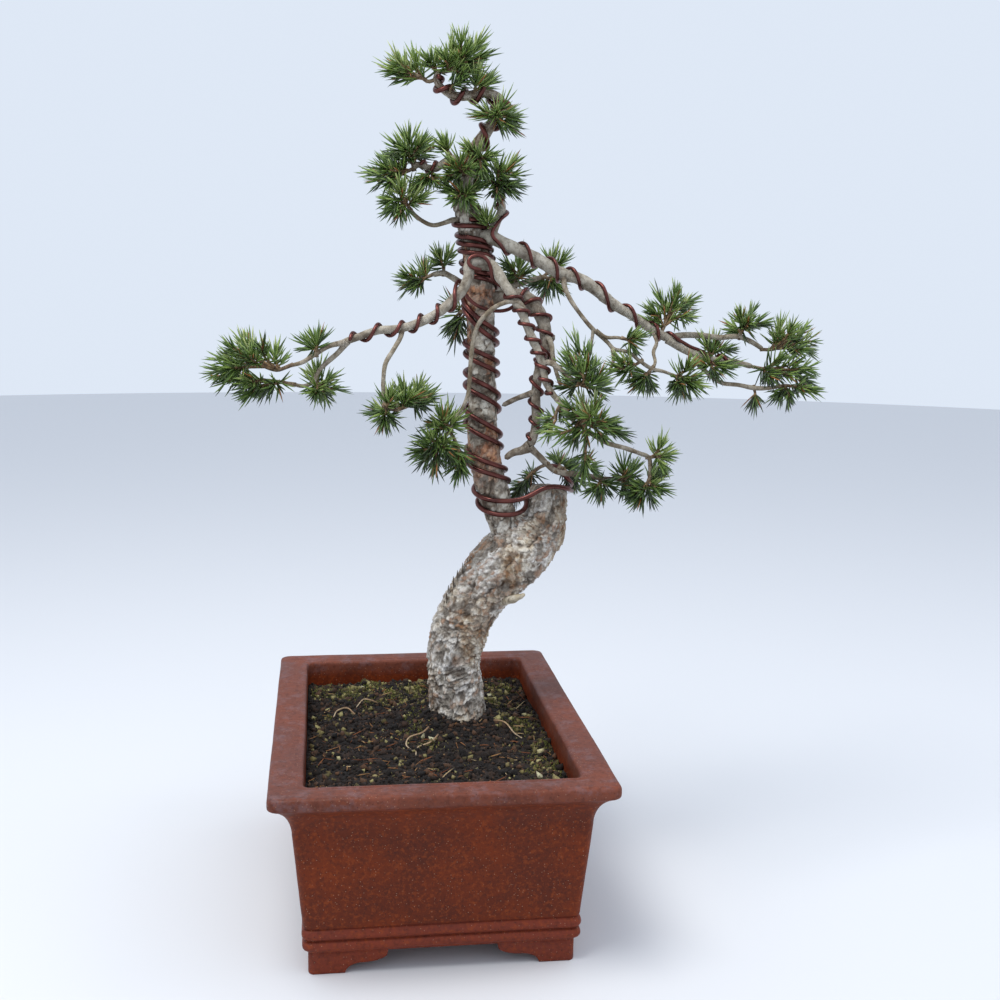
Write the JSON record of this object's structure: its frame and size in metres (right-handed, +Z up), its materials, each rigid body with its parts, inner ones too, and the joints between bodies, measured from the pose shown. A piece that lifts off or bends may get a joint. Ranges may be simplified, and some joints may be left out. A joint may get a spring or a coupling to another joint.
{
  "type": "scots pine bonsai in a pot",
  "caption": "Wired scots pine bonsai with a slanting old trunk, long side branches and needle clusters, planted in a deep rectangular unglazed clay pot on low feet.",
  "frame": {"origin": "middle of the outline in plan of the whole tree and pot, on the surface that the pot's feet stand on", "axes": "+Z up; Y along the pot's long side with -Y towards the viewer of the tree's front; X along the pot's short side, the way the branches reach, with +X to the viewer's right"},
  "size_m": [0.635, 0.428, 0.8341],
  "materials": {
    "clay": "unglazed, matt with a faint sheen",
    "soil": "granular, damp",
    "bark": "flaky bark",
    "wire": "anodised, glossy",
    "needles": "waxy needles"
  },
  "bodies": {
    "root": {"pot": "clay", "soil": "soil", "spray_arch_left": "needles", "spray_arch_right": "needles", "spray_arch_top": "needles", "spray_back_left_far": "needles", "spray_back_left_near": "needles", "spray_back_right_far": "needles", "spray_back_right_near": "needles", "spray_behind_left": "needles", "spray_centre_lower": "needles", "spray_centre_right": "needles", "spray_centre_upper": "needles", "spray_crown_left": "needles", "spray_crown_low": "needles", "spray_crown_mid": "needles", "spray_crown_right": "needles", "spray_crown_top": "needles", "spray_drooping_end": "needles", "spray_drooping_middle": "needles", "spray_drooping_near": "needles", "spray_front_left": "needles", "spray_front_middle": "needles", "spray_front_upper": "needles", "spray_hanging_end": "needles", "spray_hanging_right": "needles", "spray_left_end_low": "needles", "spray_left_end_top": "needles", "spray_left_low_tuft": "needles", "spray_left_top_small": "needles", "spray_low_end": "needles", "spray_low_inner_left": "needles", "spray_low_inner_right": "needles", "spray_low_long_end": "needles", "spray_low_long_side": "needles", "spray_low_middle": "needles", "spray_right_far_lower": "needles", "spray_right_far_middle": "needles", "spray_right_far_top": "needles", "spray_right_far_upper": "needles", "spray_right_inner_lower": "needles", "spray_right_inner_top": "needles", "spray_right_small": "needles", "spray_right_under": "needles", "spray_right_upper": "needles", "spray_thin_left_end": "needles", "spray_upper_left_end": "needles", "spray_upper_left_small_a": "needles", "spray_upper_left_small_b": "needles", "spray_upper_left_top": "needles", "spray_upright_head": "needles", "spray_upright_small": "needles", "wire_front": "wire", "wire_left_and_dark": "wire", "wire_right_and_upright": "wire", "wire_trunk_lower_strand": "wire", "wire_trunk_upper_strand": "wire", "wire_upper_left": "wire", "wood": "bark"}
  },
  "joints": []
}
